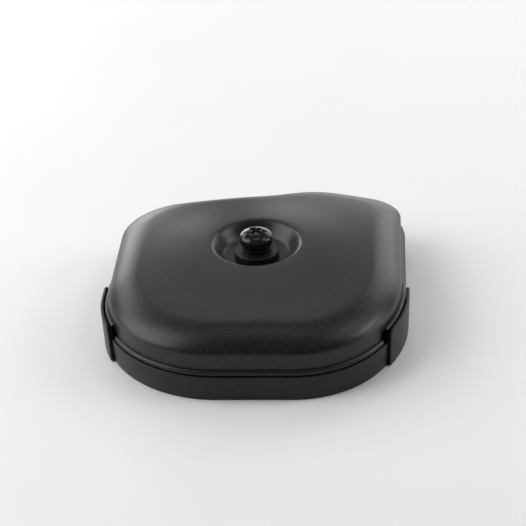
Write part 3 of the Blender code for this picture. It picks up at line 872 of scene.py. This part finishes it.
def make_insert(look):
    """Brass insert: knurled bands outside and a fine thread inside."""
    low, high = INSERT_FLOOR + 0.3, POST_TOP - 0.1
    count, steps = 60, 120
    groove_radius, knurl_radius, knurl_depth, knurl_count = 3.3, 3.48, 0.12, 15.0
    bore, thread_depth = 2.62, 0.16
    outside, inside = [], []
    for k in range(count + 1):
        z = low + (high - low) * k / count
        radius = groove_radius
        if abs(z - (low + high) / 2.0) >= 0.5:
            radius = lambda turn: knurl_radius + knurl_depth * abs(
                sin(tau * turn * knurl_count + z * 1.2))
        outside.append(ring_row(radius, z, steps))
        inside.append(ring_row(lambda turn: bore + thread_depth * thread_wave(turn, z), z, steps))
    insert = loft("insert_brass", outside + inside[::-1], ring=True)
    finish_piece(insert, look, "tray", "thread_insert", 50.0)


def make_sleeves(look):
    """Steel sleeves that keep the two bolts from crushing the seat."""
    for side, centre in BOLTS.items():
        sleeve = rounded_ring("sleeve_tube_" + side, 2.7, 3.5, SEAT_FACE + 0.1,
                              COUNTERBORE_FLOOR - 0.1, 0.15, centre, 64)
        finish_piece(sleeve, look, "tray", "sleeve_" + side)


def make_gasket(look):
    """Oval gasket with an air hole and two bolt holes."""
    rim = circle_points(INTAKE, 12.0)
    cutters = [cylinder("air_hole", INTAKE, 7.8, 0.0, 5.0)]
    for centre in BOLTS.values():
        rim += circle_points(centre, 6.2, 64)
        cutters.append(cylinder("bolt_hole", centre, 2.9, 0.0, 5.0, 48))
    gasket = prism("flange_gasket", hull(rim), SEAT_FACE - 1.1, SEAT_FACE - 0.3)
    cut(gasket, join("gasket_holes", cutters))
    bevel(gasket, 0.08, 2, 60.0)
    finish_piece(gasket, look, "tray", "carb_gasket")


def make_seals(look):
    """Rubber strips: one in the step of the tray's wall, one under the grid's rim."""
    seal = strip_ring("rim_seal", REBATE_INSET + 0.3, WALL_INNER - 0.3,
                      REBATE_Z + 0.03, COVER_RIM - 0.03, 0.25)
    finish_piece(seal, look, "tray", "cover_seal")
    seal = strip_ring("chamber_seal", CHAMBER_OUTER - 0.1, CHAMBER_INNER + 0.3,
                      CHAMBER_TOP + 0.1, ELEMENT_Z[0] - 0.05, 0.2)
    finish_piece(seal, look, "element", "element_seal")


# ---- choke

def cross_cutter(name, centre, top, wing, width, depth, turn=0.0):
    """A cross recess that narrows with depth, from just above top."""
    rows = []
    for z, scale in ((top + 0.4, 1.08), (top, 1.0), (top - 0.35 * depth, 0.82),
                     (top - 0.8 * depth, 0.5), (top - depth, 0.22)):
        loop = []
        for k in range(4):
            base = turn + 90.0 * k
            tip, side = wing * scale, width * (0.55 + 0.45 * scale) / 2.0
            for along, across in ((side, -side), (tip - 0.25 * side, -side), (tip, -0.55 * side),
                                  (tip, 0.55 * side), (tip - 0.25 * side, side)):
                spot = Vector((max(along, side), across))
                spot.rotate(Matrix.Rotation(radians(base), 2))
                loop.append((centre[0] + spot.x, centre[1] + spot.y, z))
        rows.append(loop)
    return loft(name, rows)


def make_shutter(look):
    """Stamped shutter with a pressed stiffening rib and a small idle hole."""
    low, high = SHUTTER_Z
    to_intake = INTAKE - PIVOT
    closed = degrees(atan2(to_intake.y, to_intake.x))
    disc = polar(closed + CHOKE_SWING, to_intake.length, PIVOT)
    shutter = cylinder("shutter_plate", disc, SHUTTER_RADIUS, low, high)
    ends = circle_points(PIVOT, ARM_RADIUS, 48) + circle_points(disc, ARM_RADIUS, 48)
    add(shutter, prism("arm", hull(ends), low, high))
    cutters = [cylinder("hole", PIVOT, 1.8, 0.0, ABOVE, 48),
               cylinder("idle_hole", disc + Vector((2.5, -3.0)), 1.1, 0.0, ABOVE, 32)]
    cut(shutter, join("shutter_holes", cutters))
    bevel(shutter, 0.14, 3, 60.0)
    along = (disc - PIVOT).normalized()
    ends = circle_points(PIVOT + along * 6.5, 0.9, 24) + circle_points(disc - along, 0.9, 24)
    ridge = bevel(prism("ridge", hull(ends), high - 0.3, high + 0.3), 0.28, 3, 60.0)
    add(shutter, ridge)
    finish_piece(shutter, look, "choke", "choke_shutter")


def make_lever(look):
    """Moulded lever with a ribbed thumb grip."""
    tip_radius, bore, ridges = 2.1, 1.6, 4
    tip = polar(90.0 + CHOKE_SWING / 2.0, LEVER_LENGTH - 2.2, PIVOT)
    points = hull(circle_points(PIVOT, ARM_RADIUS, 48) + circle_points(tip, tip_radius, 32))
    lever = bevel(prism("lever_arm", points, *LEVER_Z), 0.3, 3, 60.0)
    hub_top = SHUTTER_Z[0] - 0.2
    profile = ((HUB_RADIUS - 0.2, hub_top), (HUB_RADIUS, hub_top - 0.2), (HUB_RADIUS, 1.0))
    add(lever, spindle("hub", profile, PIVOT))
    cut(lever, cylinder("bore", PIVOT, bore, 3.4, 9.0, 32))
    along = (tip - PIVOT).normalized()
    turn = atan2(along.y, along.x)
    for k in range(ridges):
        spot = tip + along * (1.1 - 1.0 * k)
        ridge = box("grip", (*spot, LEVER_Z[1] + 0.02), (0.4, 3.0, 0.4), turn)
        add(lever, bevel(ridge, 0.12, 2))
    finish_piece(lever, look, "choke", "choke_lever")


def make_choke_washer(look):
    """Spring washer with three waves."""
    inner, outer, thick, lift, depth = 1.7, 3.1, 0.16, 0.15, 0.06
    rows = []
    for radius, up in ((outer, 0.0), (outer, thick), (inner, thick), (inner, 0.0)):
        base = SHUTTER_Z[1] + lift + up
        rows.append(ring_row(radius, lambda turn: base + depth * sin(3.0 * tau * turn),
                             96, PIVOT))
    washer = loft("wave_washer", rows, ring=True)
    finish_piece(washer, look, "choke", "choke_washer")


def domed_top(radius, top, bulge, edge_angle, steps):
    """A screw head's (radius, z) profile from the axis outward, a flattened arc."""
    widest = sin(radians(edge_angle))
    points = []
    for k in range(steps + 1):
        angle = radians(edge_angle * k / steps)
        points.append((radius * sin(angle) / widest, top - bulge * (1.0 - cos(angle))))
    return points


def make_pivot_screw(look):
    """Small cross-recess screw that holds shutter and lever together."""
    base, shank, tip = SHUTTER_Z[1] + 0.46, 1.3, 4.0
    top = base + 1.35
    profile = domed_top(2.45, top, 0.6, 78.0, 6)
    profile += [(2.6, base + 0.7), (2.6, base + 0.15), (2.45, base), (shank, base),
                (shank, tip + 0.2), (shank - 0.3, tip), (0.0, tip)]
    screw = turned("pivot_screw", profile, PIVOT, 64, ring=False)
    cut(screw, cross_cutter("cross", PIVOT, top, 1.5, 0.6, 0.9, 20.0))
    finish_piece(screw, look, "choke", "choke_pivot_screw")


# ---- cover screw

SEAL_TOP = DIMPLE_FLOOR + 0.92
WASHER_TOP = SEAL_TOP + 1.1
HEAD_SEAT = DIMPLE_FLOOR + 3.65
HEAD_RADIUS = 4.75
HEAD_HEIGHT = 4.4
THREAD_TIP = 6.3


def make_washers(rubber_look, oxide_look, steel_look):
    """From the bottom: rubber washer, flat washer and split spring washer."""
    gap = 0.03
    seal = rounded_ring("washer_rubber", 2.75, 6.1, DIMPLE_FLOOR + gap, SEAL_TOP, 0.3)
    finish_piece(seal, rubber_look, "cover", "seal_washer")
    flat = rounded_ring("washer_flat", 2.7, 6.5, SEAL_TOP + gap, WASHER_TOP, 0.28, steps=128)
    finish_piece(flat, oxide_look, "screw_washers", "flat_washer")
    make_split_washer(steel_look)


def make_split_washer(look):
    """A split ring that climbs slightly from one end to the other."""
    gap, climb, first, steps = 9.0, 0.3, 20.0, 120
    loops = []
    for k in range(steps + 1):
        share = k / steps
        angle = first + gap / 2.0 + (360.0 - gap) * share
        low = WASHER_TOP + 0.2 + climb * (share - 0.5)
        profile = rounded_corners(2.65, 4.05, low, low + 1.05, 0.12, 2)
        loops.append([(*polar(angle, radius), z) for radius, z in profile])
    finish_piece(loft("washer_spring", loops), look, "screw_washers", "lock_washer")


def thread_radius(turn, z, start, stop):
    """Radius of a thread with flat crests that fades out at both ends."""
    minor, depth = 2.0, 0.42
    fade = max(min(1.0, (start - z) / 0.5, (z - stop) / 0.6 + 0.15), 0.0)
    wave = min(max((thread_wave(turn, z) - 0.2) / 0.55, 0.0), 1.0)
    return minor + depth * fade * wave


def make_cover_screw(look):
    """Pan head with a rounded rim, a tapered cross recess and a threaded shank."""
    top = HEAD_SEAT + HEAD_HEIGHT
    dome, edge_angle, steps = 1.3, 62.0, 96
    bulge = dome / (1.0 - cos(radians(edge_angle)))
    profile = domed_top(HEAD_RADIUS - 0.35, top, bulge, edge_angle, 10)
    profile += [(HEAD_RADIUS - 0.12, top - dome - 0.25), (HEAD_RADIUS, top - dome - 0.6),
                (HEAD_RADIUS, HEAD_SEAT + 0.9), (HEAD_RADIUS - 0.1, HEAD_SEAT + 0.5),
                (HEAD_RADIUS - 0.4, HEAD_SEAT + 0.15), (HEAD_RADIUS - 0.8, HEAD_SEAT),
                (2.45, HEAD_SEAT), (2.3, HEAD_SEAT - 0.2), (2.05, HEAD_SEAT - 1.0)]
    rows = [ring_row(max(radius, ON_AXIS), z, steps) for radius, z in profile]
    start, stop = HEAD_SEAT - 1.1, THREAD_TIP
    count = 200
    for k in range(count + 1):
        z = start + (stop - start) * k / count
        rows.append(ring_row(lambda turn: thread_radius(turn, z, start, stop), z, steps))
    screw = loft("screw_pan_head", rows)
    cut(screw, cross_cutter("cross", (0.0, 0.0), top, 2.35, 1.15, 2.4, 45.0))
    finish_piece(screw, look, "screw", "cover_screw", 40.0)


def make_retainer(look):
    """Ring that keeps the undone screw in the cover."""
    ring = rounded_ring("retainer_ring", 2.6, 4.6, POST_TOP + 0.6, POST_TOP + 1.4, 0.2)
    finish_piece(ring, look, "screw", "screw_retainer")


# ---- element

def make_element_frame(look):
    """A moulded grid with a solid rim, a solid middle and a collar round the post."""
    low, high = ELEMENT_Z
    rim, reach, collar_foot = 2.8, 120.0, 8.6
    plate = prism("grid_frame", section(ELEMENT_INSET), low, high)
    openings = prism("openings", section(ELEMENT_INSET + rim), 0.0, 20.0)
    cut(openings, cylinder("middle", (0.0, 0.0), FOAM_HOLE + 1.5, -5.0, 25.0))
    for size, across in (((GRID_BAR, reach, 30.0), Vector((GRID_PITCH, 0.0, 0.0))),
                         ((reach, GRID_BAR, 30.0), Vector((0.0, GRID_PITCH, 0.0)))):
        bars = [box("bar", across * k + Vector((0.0, 0.0, 10.0)), size) for k in range(-4, 5)]
        cut(openings, join("bars", bars))
    cut(plate, openings)
    bevel(plate, 0.18, 2, 60.0)
    outer = POST_RADIUS + 1.7
    profile = ((outer - 0.2, high + 0.05), (outer, high - 0.15), (outer, collar_foot + 0.2),
               (outer - 0.2, collar_foot))
    add(plate, spindle("collar", profile, steps=96))
    cut(plate, cylinder("hole", (0.0, 0.0), POST_RADIUS + 0.4, 0.0, 20.0))
    finish_piece(plate, look, "element", "element_frame")


def inside_outline(x, y, polygon):
    """Even-odd test of points against a polygon, as arrays."""
    inside = np.zeros(len(x), bool)
    for a, b in zip(polygon, polygon[1:] + polygon[:1]):
        if a.y == b.y:
            continue
        crosses = (a.y > y) != (b.y > y)
        inside ^= crosses & (x < (b.x - a.x) * (y - a.y) / (b.y - a.y) + a.x)
    return inside


def make_screen(look):
    """Plain-woven wire cloth inside a folded steel edge."""
    middle = ELEMENT_Z[1] + 0.32
    pitch = 1.5
    wave, fold, edge_round = 0.13, 0.18, 0.12
    edge = section(ELEMENT_INSET + 1.6)
    count = int(90.0 / pitch)
    along = np.arange(-50.0, 50.0, pitch / 4.0)
    bm = bmesh.new()
    for crosswise in (False, True):
        for i in range(-count // 2, count // 2 + 1):
            fixed = np.full_like(along, (i + 0.5) * pitch)
            x, y = (fixed, along) if crosswise else (along, fixed)
            keep = inside_outline(x, y, edge) & (np.hypot(x, y) > POST_RADIUS + 2.2)
            z = middle + wave * np.cos(pi * (along / pitch + i + crosswise - 0.5))
            add_wires(bm, np.column_stack((x, y, z)), keep, crosswise)
    bmesh.ops.recalc_face_normals(bm, faces=bm.faces)
    cloth = add_mesh("screen_wires", bm)
    rim = strip_ring("screen_rim", ELEMENT_INSET + 1.0, ELEMENT_INSET + 2.2,
                     middle - fold, middle + fold, edge_round)
    eye = rounded_ring("screen_eye", POST_RADIUS + 1.8, POST_RADIUS + 2.9,
                       middle - fold, middle + fold, edge_round)
    screen = join("wire_screen", [cloth, rim, eye])
    finish_piece(screen, look, "element", "filter_screen")


def add_wires(bm, path, keep, crosswise):
    """Square wires along each unbroken run of kept points on a path."""
    half = 0.07
    side = Vector((half, 0.0, 0.0) if crosswise else (0.0, half, 0.0))
    up = Vector((0.0, 0.0, half))
    corners = (-side - up, side - up, side + up, up - side)
    changes = np.flatnonzero(np.diff(np.concatenate(([0], keep, [0]))))
    for first, stop in zip(changes[::2], changes[1::2]):
        if stop - first <= 3:
            continue
        rings = [[bm.verts.new(Vector(point) + corner) for corner in corners]
                 for point in path[first:stop]]
        for low, high in zip(rings, rings[1:]):
            for s in range(4):
                bm.faces.new((low[s], high[s], high[(s + 1) % 4], low[(s + 1) % 4]))
        bm.faces.new(rings[0])
        bm.faces.new(rings[-1])


def make_foam(look):
    """Soft pad: rounded over, remeshed, dented in soft waves and pitted like open-cell foam."""
    edge, shoulder = ELEMENT_INSET + 0.5, 8.0
    profile = ((0.25, FOAM_Z), (0.0, FOAM_Z + 0.3), (0.0, 13.6), (0.35, 14.2), (1.2, 14.8),
               (2.5, 15.6), (4.0, 16.3), (6.0, 16.95), (shoulder, 17.35))
    rows = levels((edge + inset, z) for inset, z in profile)
    last = section(edge + shoulder)
    circle = even_circle(last, FOAM_HOLE + 4.0)
    for share in (0.25, 0.5, 0.75):
        rows.append([(*a.lerp(b, share), 17.35 + 0.5 * share) for a, b in zip(last, circle)])
    hole = ((4.0, 17.8), (2.4, 17.4), (0.9, 16.6), (0.2, 15.9), (0.0, 15.2),
            (0.0, FOAM_Z + 0.3), (0.25, FOAM_Z))
    rows += circle_rows(last, [(FOAM_HOLE + past, z) for past, z in hole])
    foam = loft("foam_pad", rows, ring=True)
    remesh = foam.modifiers.new("voxels", 'REMESH')
    remesh.mode = 'VOXEL'
    remesh.voxel_size = 0.5 * MM
    bake(foam)
    dent_foam(foam)
    pits = bpy.data.textures.new("pits", 'CLOUDS')
    pits.noise_scale = 0.9 * MM
    pits.noise_depth = 1
    step = foam.modifiers.new("pits", 'DISPLACE')
    step.texture = pits
    step.texture_coords = 'LOCAL'
    step.strength = 0.28 * MM
    step.mid_level = 0.62
    bake(foam)
    finish_piece(foam, look, "element", "filter_foam", 80.0)


def dent_foam(foam):
    """Lets the top sink a little and run in soft waves, while the foot stays flat."""
    co = np.zeros(len(foam.data.vertices) * 3)
    foam.data.vertices.foreach_get("co", co)
    co = co.reshape(-1, 3) / MM
    x, y, z = co.T
    high = np.clip((z - FOAM_Z) / 4.0, 0.0, 1.0)
    wave = 0.22 * np.sin(x / 6.1 + 0.6) * np.cos(y / 7.3 - 0.4)
    wave += 0.10 * np.sin(x / 2.7 - y / 3.9 + 1.3)
    co[:, 2] = z + (wave - 0.25) * high
    foam.data.vertices.foreach_set("co", (co * MM).ravel())
    foam.data.update()


# ---- stage

def make_floor():
    """Pale floor just under the tray, 3 m wide."""
    bm = bmesh.new()
    bmesh.ops.create_grid(bm, x_segments=1, y_segments=1, size=1500.0)
    floor = add_mesh("floor", bm, (0.0, 0.0, -0.05))
    look = Look("floor_paint", (0.92, 0.92, 0.92), 0.55)
    look.set("Base Color", look.ramp(look.noise(60.0, 2.0), [(0.3, 0.91), (0.7, 0.93)]))
    fade_to_backdrop(look, 0.3, 0.9)
    floor.data.materials.append(look.material)


def fade_to_backdrop(look, near, far):
    """Lets the camera see the floor turn into the backdrop between two distances."""
    away = look.node("VectorMath", {0: look.place}, operation='LENGTH').outputs["Value"]
    sockets = {"Value": away, "From Min": near, "From Max": far}
    fade = look.node("MapRange", sockets, interpolation_type='SMOOTHSTEP').outputs["Result"]
    seen = look.node("LightPath", {}).outputs["Is Camera Ray"]
    share = look.node("Math", {0: fade, 1: seen}, operation='MULTIPLY').outputs["Value"]
    glow = look.node("Emission", {"Strength": BACKDROP}).outputs[0]
    mixed = look.node("MixShader", {0: share, 1: look.shader.outputs[0], 2: glow})
    output = look.tree.nodes["Material Output"]
    look.tree.links.new(mixed.outputs[0], output.inputs["Surface"])


# Soft boxes: azimuth from the back to the right and elevation in degrees, power in watts.
SOFT_BOXES = {
    "key_left": (-90, 30, 6.5),
    "left_high": (-90, 55, 1.2),
    "left_low": (-90, 8, 0.7),
    "back_left": (-40, 30, 1.2),
    "back_left_low": (-20, 8, 1.8),
    "back": (0, 35, 0.3),
    "back_high": (0, 50, 0.5),
    "back_low": (15, 8, 0.9),
    "back_right_low": (40, 10, 0.9),
    "back_right": (40, 30, 1.0),
    "right_low": (90, 8, 1.0),
    "fill_right": (90, 30, 2.0),
    "right_high": (90, 55, 0.8),
    "top": (0, 88, 0.4),
}
BOX_SIZE = (0.45, 0.28)
KEY_SIZE = (1.0, 0.6)
AMBIENT = 0.15
BACKDROP = 0.85


def make_world():
    """Even white light, weak on the object and bright where the camera sees past the floor."""
    world = bpy.data.worlds.new("studio")
    bpy.context.scene.world = world
    world.use_nodes = True
    tree = world.node_tree
    background = tree.nodes["Background"]
    background.inputs["Color"].default_value = (1.0, 1.0, 1.0, 1.0)
    seen = add_node(tree, "LightPath", {})
    sockets = {0: seen.outputs["Is Camera Ray"], 1: BACKDROP - AMBIENT, 2: AMBIENT}
    share = add_node(tree, "Math", sockets, operation='MULTIPLY_ADD')
    tree.links.new(share.outputs["Value"], background.inputs["Strength"])


def make_lights():
    """Soft boxes one metre from the object, facing it."""
    middle = Vector((0.0, 0.0, 0.01))
    for name, (azimuth, elevation, power) in SOFT_BOXES.items():
        turn, lift = radians(azimuth), radians(elevation)
        away = Vector((sin(turn) * cos(lift), cos(turn) * cos(lift), sin(lift)))
        data = bpy.data.lights.new(name, 'AREA')
        data.shape = 'RECTANGLE'
        data.size, data.size_y = KEY_SIZE if name == "key_left" else BOX_SIZE
        data.energy = power
        lamp = bpy.data.objects.new(name, data)
        lamp.location = middle + away
        lamp.rotation_euler = (-away).to_track_quat('-Z', 'Y').to_euler()
        bpy.context.scene.collection.objects.link(lamp)


def make_camera():
    """Pinhole camera 395 mm in front and 258 mm up, tilted 31.5 degrees down."""
    pitch, yaw, roll = radians(31.47), radians(-1.22), radians(2.59)
    place = Matrix.Translation((-0.0068, -0.3952, 0.2577)) @ Matrix.Rotation(yaw, 4, 'Z')
    tilt = Matrix.Rotation(pi / 2.0 - pitch, 4, 'X')
    data = bpy.data.cameras.new("camera")
    data.sensor_width = 36.0
    data.lens = 1600.0 / 526.0 * data.sensor_width
    data.clip_start = 0.01
    camera = bpy.data.objects.new("camera", data)
    camera.matrix_world = place @ tilt @ Matrix.Rotation(-roll, 4, 'Z')
    bpy.context.scene.collection.objects.link(camera)
    bpy.context.scene.camera = camera
    bpy.context.scene.view_settings.view_transform = 'Standard'


def main():
    cover_look = moulded_plastic("cover_plastic", (0.0026, 0.0026, 0.0023),
                                 (0.0042, 0.0042, 0.0037), 0.36, 0.43)
    tray_look = moulded_plastic("tray_plastic", (0.0028, 0.0026, 0.0042),
                                (0.0038, 0.0036, 0.0053), 0.42, 0.38)
    grid_look = moulded_plastic("grid_plastic", (0.03, 0.03, 0.031), (0.04, 0.04, 0.041), 0.5)
    black_rubber = rubber("black_rubber", (0.014, 0.014, 0.014))
    screw_steel = black_steel("black_steel")
    zinc = plated_steel("zinc_plate", (0.60, 0.59, 0.56))
    make_cover(cover_look)
    make_tray(tray_look)
    make_insert(brass("insert_metal"))
    make_sleeves(zinc)
    make_gasket(fibre_sheet("gasket_fibre"))
    make_seals(black_rubber)
    make_shutter(zinc)
    make_lever(tray_look)
    make_choke_washer(plated_steel("spring_steel", (0.42, 0.42, 0.43), 0.24))
    make_pivot_screw(zinc)
    make_washers(black_rubber, oxide_washer("black_oxide"), screw_steel)
    make_cover_screw(screw_steel)
    make_retainer(nylon("natural_nylon"))
    make_element_frame(grid_look)
    make_screen(wire("screen_wire"))
    make_foam(open_foam("charcoal_foam"))
    make_floor()
    make_world()
    make_lights()
    make_camera()


main()
